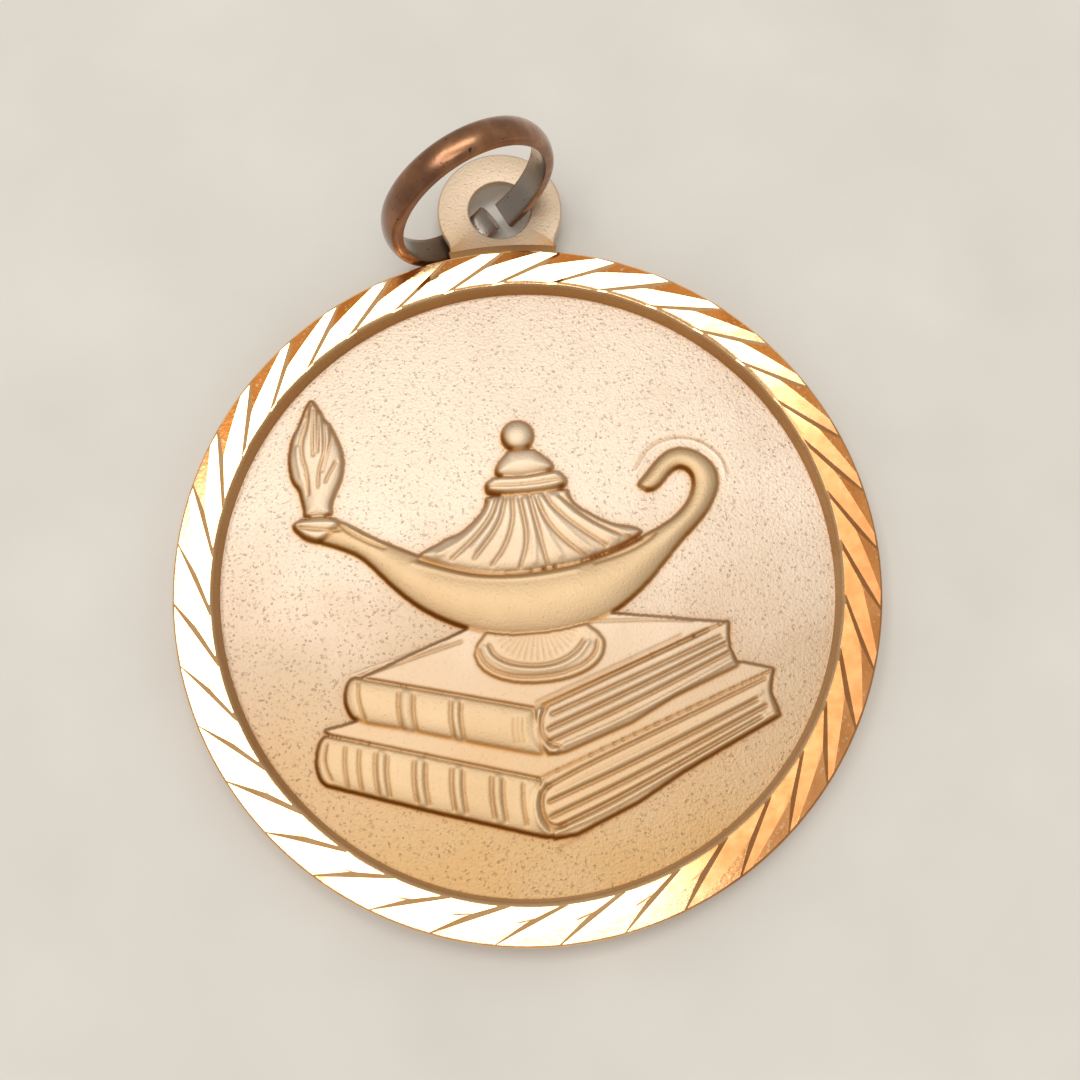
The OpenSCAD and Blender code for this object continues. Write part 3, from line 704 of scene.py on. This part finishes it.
# the bowl with its spout and handle: x and y on the lower outline, x and y on the upper one, rise
bowlRails = [
    (-9.4, 2.3, -8.5, 3.2, 0.27), (-8.6, 2.0, -8.0, 3.0, 0.3), (-7.6, 1.55, -7.0, 2.35, 0.32),
    (-6.9, 0.85, -6.3, 2.0, 0.34), (-6.3, 0.15, -5.3, 1.5, 0.38), (-5.0, -1.1, -4.2, 0.95, 0.45),
    (-3.3, -2.05, -2.7, 0.45, 0.49), (-1.5, -2.6, -1.2, 0.2, 0.52), (0.2, -2.65, 0.2, 0.2, 0.53),
    (1.9, -2.5, 1.6, 0.35, 0.52), (3.6, -2.0, 3.0, 0.6, 0.5), (5.0, -1.0, 4.3, 1.0, 0.46),
    (6.0, 0.0, 5.3, 1.45, 0.42), (7.0, 1.1, 6.2, 1.85, 0.39), (7.8, 1.8, 6.95, 2.3, 0.36),
    (8.4, 2.45, 7.45, 2.8, 0.34), (8.8, 3.1, 7.75, 3.3, 0.33), (9.05, 3.8, 7.9, 3.8, 0.32),
    (8.95, 4.5, 7.85, 4.2, 0.32), (8.45, 5.15, 7.65, 4.47, 0.32), (7.6, 5.55, 7.35, 4.6, 0.31),
    (6.9, 5.45, 7.02, 4.5, 0.3), (6.35, 5.05, 6.72, 4.25, 0.29), (5.9, 4.55, 6.42, 3.88, 0.28),
    (5.5, 4.12, 6.02, 3.6, 0.26), (5.32, 3.9, 5.72, 3.58, 0.22)]


def drawBowl():
    rails = np.array(bowlRails)
    low = soften(onMedal(rails[:, :2]), 2)
    up = soften(onMedal(rails[:, 2:4]), 2)
    where = window(np.vstack([low, up]), 0.5)
    farLow, along = distanceTo(low, where)
    farUp, _ = distanceTo(up, where)
    mask = np.zeros(farLow.shape, bool)
    for a, b, c, d in zip(low[:-1], low[1:], up[1:], up[:-1]):
        mask |= insideOf(np.array([a, b, c, d]), where)
    lengths = np.hypot(*(onMedal(rails[1:, :2]) - onMedal(rails[:-1, :2])).T)
    places = np.concatenate([[0], np.cumsum(lengths)]) / lengths.sum()
    rise = np.interp(along, places, rails[:, 4])
    t = farLow / np.maximum(farLow + farUp, 1e-6)
    top = rise * (0.3 + 0.7 * np.sin(np.pi * (0.03 + 0.87 * t)) ** 0.65)
    height[where] = np.where(mask, top, height[where])
    ink[where] = np.where(mask, 0, ink[where])
    warm[where] = np.where(mask, 1, warm[where])
    edge = np.minimum(farLow, farUp)
    ink[where] = np.maximum(ink[where], 0.85 * np.exp(-(edge / 0.09) ** 2))
    stroke([(3.0, 0.35), (4.5, 0.72), (5.5, 1.2), (5.9, 1.55)], 0.07, -0.05, 0.7)
    stroke([(-5.2, 0.95), (-4, 0.5), (-2.5, 0.05), (-1, -0.1), (0.6, -0.1), (2.2, 0.1)], 0.09, 0.03)
    stroke([(-8.4, 3.05), (-8.0, 2.6), (-7.0, 2.0), (-6.4, 1.75)], 0.06, -0.05, 0.8)
    stroke([(-8.6, 3.3), (-8.0, 2.95), (-7.5, 2.5), (-7.0, 2.25), (-6.5, 1.95)], 0.09, 0.05)
    stroke([(5.2, 4.3), (5.5, 4.8), (5.9, 5.35), (6.4, 5.75), (7.2, 5.95), (8.0, 5.9), (8.6, 5.6),
            (9.2, 5.0), (9.35, 4.5), (9.4, 4.0)], 0.06, 0.03)
    stroke([(5.3, 4.7), (5.8, 5.5), (6.4, 5.95), (7.2, 6.15), (8.0, 6.05), (8.8, 5.65), (9.4, 5.0),
            (9.6, 4.2)], 0.05, -0.03, 0.7)
    stroke([(8.4, 5.2), (8.9, 4.8), (9.15, 4.3), (9.2, 3.8), (9.05, 3.4)], 0.05, -0.03, 0.5)


def drawLid():
    swell([(-1.65, 3.9), (-1.7, 3.4), (-2.0, 3.0), (-2.4, 2.6), (-3.0, 2.15), (-3.6, 2.0), (-4.0, 1.75),
           (-4.5, 1.55), (-5.0, 1.3), (-4, 0.85), (-3, 0.5), (-2, 0.27), (-1, 0.2), (0, 0.2), (1, 0.3),
           (2, 0.4), (3, 0.65), (4, 0.95), (5.4, 1.6), (5.0, 1.9), (4.2, 2.05), (3.5, 2.35), (3.0, 2.7),
           (2.4, 3.1), (2.1, 3.6), (2.05, 4.0)], 0.42, 0.7, 0.45, 0.85, 1)
    strokes([[(-1.15, 3.75), (-1.5, 2.8), (-2.4, 1.8), (-3.4, 1.0)],
             [(-0.8, 3.7), (-1.15, 2.4), (-2.4, 0.95)],
             [(-0.5, 3.7), (-0.5, 2.6), (-0.95, 1.4), (-1.6, 0.6)], [(-0.15, 3.6), (0.1, 1.7), (-0.35, 0.4)],
             [(0.3, 3.7), (0.6, 1.9), (0.9, 0.4)], [(0.6, 3.6), (0.9, 2.6), (1.6, 1.6), (2.6, 0.7)],
             [(1.0, 3.7), (1.3, 3.1), (2.3, 2.1), (3.6, 1.1)], [(1.7, 3.6), (3, 2.3), (4.7, 1.4)]],
            0.08, -0.08, 0.7, 0.2)
    strokes([[(-1.35, 3.7), (-1.9, 2.7), (-2.9, 1.8), (-4.0, 1.25)],
             [(-1.0, 3.6), (-1.35, 2.6), (-2.4, 1.4)],
             [(0.45, 3.6), (0.8, 2.2), (1.5, 0.8)], [(0.8, 3.6), (1.2, 2.8), (2.2, 1.6), (3.0, 0.9)],
             [(1.4, 3.6), (2.3, 2.6), (4.1, 1.4)], [(0.1, 3.5), (0.4, 1.8), (0.3, 0.6)]], 0.14, 0.04)
    # the seam between lid and bowl: its place is cleared of ink, then cut
    seam = [(-4.9, 1.1), (-4, 0.75), (-3, 0.4), (-2, 0.18), (-1, 0.08), (0, 0.08), (1, 0.18), (2, 0.3),
            (3, 0.55), (4, 0.85), (5.2, 1.35)]
    stroke(seam, 0.16, 0.0)
    stroke(seam, 0.08, -0.09, 0.9)


def drawKnob():
    swell([(-1.65, 4.3), (-1.6, 3.98), (-1, 3.86), (0, 3.82), (1, 3.86), (1.8, 4.0), (2.1, 4.25),
           (1.95, 4.6), (1.6, 4.85), (1.0, 4.75), (0, 4.65), (-1.2, 4.72), (-1.6, 4.5)],
          0.5, 0.35, 0.4, 0.85, 1)
    stroke([(-1.3, 4.55), (0, 4.48), (1.6, 4.6)], 0.06, 0.05)
    stroke([(-1.45, 4.28), (0, 4.2), (1.9, 4.35)], 0.06, -0.06, 0.6)
    swell([(-1.1, 4.72), (-1.15, 5.1), (-0.9, 5.5), (-0.6, 5.8), (-0.45, 5.98), (0.6, 5.98), (1.0, 5.65),
           (1.4, 5.3), (1.55, 4.95), (1.0, 4.72), (0, 4.6)], 0.47, 0.85, 0.4, 0.85, 1)
    ballR = 0.72
    bearings = np.linspace(0, 2 * math.pi, 25)[:-1]
    ball = [(-0.02 + ballR * math.cos(a), 6.65 + ballR * math.sin(a)) for a in bearings]
    swell(ball, 0.44, ballR, 0.3, 0.9, 0)
    stroke([(-0.5, 6.0), (0.1, 5.92), (0.65, 6.02)], 0.06, -0.07, 0.8)


def drawNozzle():
    swell([(-10.55, 3.15), (-10.1, 3.4), (-9.4, 3.45), (-8.7, 3.4), (-8.3, 3.05), (-8.6, 2.75),
           (-9.3, 2.25), (-9.9, 2.45), (-10.3, 2.8)], 0.38, 0.35, 0.45, 0.85, 1)
    stroke([(-10.2, 3.0), (-9.5, 2.85), (-8.4, 2.75)], 0.06, -0.07, 0.85)
    stroke([(-10.3, 3.2), (-9.5, 3.15), (-8.6, 3.1)], 0.08, 0.04)


def drawFlame():
    swell([(-9.5, 9.2), (-9.75, 8.7), (-9.9, 8.3), (-10.1, 7.8), (-10.4, 7.3), (-10.5, 6.8), (-10.6, 6.3),
           (-10.55, 5.7), (-10.45, 5.2), (-10.15, 4.8), (-10.05, 4.3), (-9.95, 3.8), (-10.0, 3.45),
           (-8.7, 3.45), (-8.75, 4.0), (-8.55, 4.5), (-8.3, 5.0), (-8.15, 5.5), (-8.1, 6.0), (-8.15, 6.5),
           (-8.3, 7.0), (-8.5, 7.5), (-8.65, 7.85), (-8.9, 8.1), (-9.1, 8.6)], 0.36, 0.9, 0.35, 0.85, 1)
    strokes([[(-9.56, 9.05), (-9.66, 8.3), (-9.95, 7.65), (-10.15, 6.9)],
             [(-9.47, 8.9), (-9.66, 7.85), (-9.96, 7.0), (-9.93, 6.2), (-9.74, 5.6), (-9.73, 4.5)],
             [(-9.36, 8.6), (-9.43, 7.3), (-9.44, 6.35)], [(-9.16, 8.6), (-9.18, 7.3), (-9.27, 6.5)],
             [(-8.97, 8.2), (-8.9, 7.3), (-8.91, 6.5), (-9.2, 5.65), (-9.27, 4.85)],
             [(-8.62, 7.7), (-8.58, 7.15), (-8.78, 6.4), (-9.03, 5.55)],
             [(-8.4, 6.0), (-8.7, 5.5), (-8.92, 5.05)]], 0.055, -0.07, 0.85)
    strokes([[(-9.75, 8.2), (-10.1, 7.3), (-10.2, 6.4), (-10.0, 5.3)],
             [(-9.3, 8.5), (-9.3, 7.4), (-9.35, 6.5)], [(-9.05, 8.3), (-9.03, 7.2), (-9.05, 6.4)],
             [(-8.75, 7.8), (-8.72, 7.0), (-8.85, 6.3), (-9.1, 5.4)]], 0.07, 0.035)


def heightAt(field, x, y):
    # the map's value at places between its steps
    reach = relief["reach"]
    u = (np.clip(x, -reach, reach - 0.01) + reach) / relief["step"]
    w = (np.clip(y, -reach, reach - 0.01) + reach) / relief["step"]
    i, j = np.minimum(u.astype(int), len(steps) - 2), np.minimum(w.astype(int), len(steps) - 2)
    fu, fw = u - i, w - j
    return ((field[j, i] * (1 - fu) + field[j, i + 1] * fu) * (1 - fw)
            + (field[j + 1, i] * (1 - fu) + field[j + 1, i + 1] * fu) * fw)


def drawPicture():
    # later shapes cover the lines of those under them
    for draw in (drawLowerBook, drawUpperBook, drawFoot, drawBowl,
                 drawLid, drawKnob, drawFlame, drawNozzle):
        draw()
    print("height map drawn")


def oxideAndShadeMap(shape, lifted, step):
    # dark patina in the hollows and drawn lines, and painted shade on the slopes that face the lower left,
    # away from the light, where the lines are also drawn thicker
    recess = np.clip((blur(height, 0.22) - shape) * 2.2, 0, 0.42) * np.clip(1.4 - lifted * 0.5, 0, 1)
    slopeY, slopeX = np.gradient(blur(height, 0.07), step)
    # painted shade: how far each slope faces the lower left
    shadedSlope = np.clip(slopeX * 0.5 + slopeY * 0.85, 0, 1)
    lines = blur(ink, 0.04) * (0.34 + 0.42 * shadedSlope)
    return np.clip(np.maximum(recess * (0.5 + 0.7 * shadedSlope), lines) + 0.2 * shadedSlope, 0, 0.85)


def plateGrid(v, busy):
    # a coarse round grid, made fine wherever the picture is
    bm = bmesh.new()
    half = math.ceil(v["plateR"] / v["coarse"]) * v["coarse"]
    count = round(2 * half / v["coarse"])
    bmesh.ops.create_grid(bm, x_segments=count, y_segments=count, size=half)
    outside = [f for f in bm.faces if min(p.co.xy.length for p in f.verts) > v["plateR"]]
    bmesh.ops.delete(bm, geom=outside, context="FACES")
    fine = set()
    for face in bm.faces:
        c = face.calc_center_median()
        r = v["coarse"] * 0.5
        xs = np.array([c.x - r, c.x, c.x + r] * 3)
        ys = np.repeat([c.y - r, c.y, c.y + r], 3)
        if heightAt(busy.astype(float), xs, ys).max() > 0.3:
            fine.update(face.edges)
    bmesh.ops.subdivide_edges(bm, edges=list(fine), cuts=v["cuts"], use_grid_fill=True)
    return bm


def makeRelief(v):
    drawPicture()
    lifted = (height > 0.01).astype(float)
    shape = blur(height, 0.035)
    maps = {"patinaAndShade": oxideAndShadeMap(shape, lifted, v["step"]), "proud": np.clip(blur(lifted, 0.06), 0, 1),
            "warm": blur(warm, 0.05)}
    bm = plateGrid(v, blur(lifted, v["margin"] / 2) > 0.02)
    x, y = np.array([p.co.xy for p in bm.verts]).T
    values = {key: heightAt(field, x, y) for key, field in maps.items()}
    for vert, rise in zip(bm.verts, heightAt(shape, x, y)):
        vert.co.z = v["fieldZ"] + rise
    # the plate's hidden side and back
    drawn = len(bm.verts)
    rim = [e for e in bm.edges if e.is_boundary]
    for part in bmesh.ops.extrude_edge_only(bm, edges=rim)["geom"]:
        if isinstance(part, bmesh.types.BMVert):
            part.co.z = v["fieldZ"] - v["plateDepth"]
    bottom = [e for e in bm.edges if e.is_boundary]
    bmesh.ops.triangle_fill(bm, edges=bottom, use_beauty=True)
    bmesh.ops.recalc_face_normals(bm, faces=bm.faces)
    hidden = {"patinaAndShade": 0.5, "proud": 0.0, "warm": 0.0}
    for key, field in values.items():
        values[key] = np.concatenate([field, np.full(len(bm.verts) - drawn, hidden[key])])
    return addPiece(bm, "lampRelief", [satin], 60, values)


lampRelief = makeRelief(relief)


# hangLoop: the flat loop with its eye, sunk into the disc, and the sloped shoulder on the rim

loop = {"middleY": 18.499, "outerD": 6.1, "eyeD": 3.02, "lift": 1.08, "thick": 0.46, "round": 0.1,
        "neckW": 5.15, "neckEndY": 15.0, "shoulderRun": 0.56, "shoulderZ": 2.09, "ochreEndY": 16.62}


def makeLoop(v):
    bm = bmesh.new()
    outer = bmesh.ops.create_circle(bm, segments=120, radius=v["outerD"] / 2)["verts"]
    inner = bmesh.ops.create_circle(bm, segments=120, radius=v["eyeD"] / 2)["verts"]
    half = v["neckW"] / 2
    drop = math.sqrt((v["outerD"] / 2) ** 2 - half ** 2)
    # the lower points of the round outline move onto the neck's three sides
    endY = v["neckEndY"] - v["middleY"]
    path = [(-half, -drop), (-half, endY), (half, endY), (half, -drop)]
    lengths = [math.dist(a, b) for a, b in zip(path, path[1:])]
    below = [p for p in outer if p.co.y < -drop - 0.001]
    below.sort(key=lambda p: math.atan2(p.co.y, p.co.x))
    for i, vert in enumerate(below):
        at = (i + 0.5) / len(below) * sum(lengths)
        k = 0
        while at > lengths[k] and k < len(lengths) - 1:
            at -= lengths[k]
            k += 1
        t = at / lengths[k]
        vert.co.x = path[k][0] + (path[k + 1][0] - path[k][0]) * t
        vert.co.y = path[k][1] + (path[k + 1][1] - path[k][1]) * t
    bmesh.ops.bridge_loops(bm, edges=bm.edges[:])
    plate = bmesh.ops.extrude_face_region(bm, geom=bm.faces[:])["geom"]
    lifted = [g for g in plate if isinstance(g, bmesh.types.BMVert)]
    bmesh.ops.translate(bm, vec=(0, 0, v["thick"]), verts=lifted)
    bmesh.ops.recalc_face_normals(bm, faces=bm.faces)
    corners = [e for e in bm.edges if len(e.link_faces) == 2 and e.calc_face_angle(0) > 1.2]
    bmesh.ops.bevel(bm, geom=corners, offset=v["round"], segments=4, profile=0.5, affect="EDGES",
                    material=-1)
    bmesh.ops.translate(bm, vec=(0, v["middleY"], v["lift"]), verts=bm.verts)
    # shoulder: a short arc of a wedge between the disc's edge and the loop
    reach = math.degrees(math.asin((half - 0.02) / 16.2))
    top, low = v["shoulderZ"], v["lift"] + v["thick"]
    toe = disc["outerR"] + v["shoulderRun"]
    outline = [(15.6, low - 0.3), (toe + 0.08, low - 0.3), (toe + 0.08, low - 0.03), (toe, low + 0.02),
               (16.06, top - 0.03), (15.9, top + 0.02), (15.6, top + 0.02)]
    verts = [bm.verts.new((r, 0, z)) for r, z in outline]
    wedge = bm.faces.new(verts)
    turn = Matrix.Rotation(math.radians(90 - reach), 3, "Z")
    bmesh.ops.rotate(bm, cent=(0, 0, 0), matrix=turn, verts=verts)
    spun = bmesh.ops.spin(bm, geom=[wedge] + wedge.edges[:] + verts, cent=(0, 0, 0), axis=(0, 0, 1),
                          dvec=(0, 0, 0), angle=math.radians(2 * reach), steps=40)
    bmesh.ops.recalc_face_normals(bm, faces=bm.faces)
    # the shoulder is darkened to ochre, and the loop darkens towards its lower left
    dirtAndShade = []
    for p in bm.verts:
        lowLeft = min(max((17.6 - p.co.y - p.co.x * 0.35) / 2.2, 0), 1)
        dirtAndShade.append(0.28 if p.co.y < v["ochreEndY"] else 0.02 + 0.14 * lowLeft)
    values = {"patinaAndShade": dirtAndShade, "proud": [0.6] * len(dirtAndShade), "warm": [0.35] * len(dirtAndShade)}
    return addPiece(bm, "hangLoop", [satin], 50, values)


hangLoop = makeLoop(loop)


# jumpRing: one bent wire of three arcs, flat inside and domed outside. Its open joint lies in the eye.

# turn, lean and middle place the ring; spring is how far, in degrees, its lower arcs lean sideways
ring = {"mainR": 4.07, "flankR": 5.02, "underR": 3.1, "width": 1.36, "thick": 0.68, "dome": 0.22,
        "corner": 16, "turn": 26, "lean": -2, "spring": 4.5, "endAngle": -64, "flankAngle": 45,
        "underAngle": 78, "middle": (-1.446, 17.655, 4.828)}


def wireOutline(v, bm):
    # a circle pushed out to the wire's section, flat side towards the ring's middle
    domeR = ((v["width"] / 2) ** 2 + v["dome"] ** 2) / (2 * v["dome"])
    shift = v["thick"] / 2 - domeR
    verts = bmesh.ops.create_circle(bm, segments=44, radius=1)["verts"]
    for vert in verts:
        c, s = vert.co.x, vert.co.y
        dome = c * shift + math.sqrt(max(domeR ** 2 - (s * shift) ** 2, 0))
        sides = [dome, v["width"] / 2 / max(abs(s), 1e-4)]
        if c < 0:
            sides.append(v["thick"] / 2 / -c)
        r = sum(q ** -v["corner"] for q in sides) ** (-1 / v["corner"])
        vert.co = (c * r, 0, s * r)
    return verts


def makeRing(v):
    bm = bmesh.new()
    verts = wireOutline(v, bm)
    bmesh.ops.translate(bm, vec=(v["mainR"], 0, 0), verts=verts)
    face = bmesh.ops.contextual_create(bm, geom=verts)["faces"][0]
    bmesh.ops.rotate(bm, cent=(0, 0, 0), verts=verts,
                     matrix=Matrix.Rotation(math.radians(v["endAngle"]), 3, "Z"))
    # the flank and the under arc lean sideways from the main arc's end
    lean = Matrix.Rotation(math.pi, 3, "Z") @ Matrix.Rotation(math.radians(-v["spring"]), 3, "Y")
    bend = math.radians(v["flankAngle"])
    flankAt = Vector((-v["mainR"], 0, 0)) + lean @ Vector((-v["flankR"], 0, 0))
    underAt = flankAt + lean @ (Vector((math.cos(bend), math.sin(bend), 0)) * (v["flankR"] - v["underR"]))
    leaned = lean @ Vector((0, 0, 1))
    end = [face] + face.edges[:] + face.verts[:]
    for centre, axis, angle, steps in ((Vector(), Vector((0, 0, 1)), 180 - v["endAngle"], 200),
                                       (flankAt, leaned, v["flankAngle"], 40),
                                       (underAt, leaned, v["underAngle"], 60)):
        end = bmesh.ops.spin(bm, geom=end, cent=centre, axis=axis, dvec=(0, 0, 0),
                             angle=math.radians(angle), steps=steps)["geom_last"]
    bmesh.ops.remove_doubles(bm, verts=bm.verts, dist=0.0005)
    bmesh.ops.recalc_face_normals(bm, faces=bm.faces)
    bm.normal_update()
    # 1 where the wire faces the ring's middle, for the greyer side
    inner = [min(max(-p.normal.dot(p.co.normalized()) * 2.5 - 1.2, 0), 1) for p in bm.verts]
    place = (Matrix.Translation(v["middle"]) @ Matrix.Rotation(math.radians(v["turn"]), 4, "Z")
             @ Matrix.Rotation(math.radians(90 + v["lean"]), 4, "X"))
    bmesh.ops.transform(bm, matrix=place, verts=bm.verts)
    return addPiece(bm, "jumpRing", [copper], 50, {"inner": inner})


jumpRing = makeRing(ring)

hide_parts("medallion")
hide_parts("medallion")
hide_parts("medallion")
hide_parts("jump_ring")
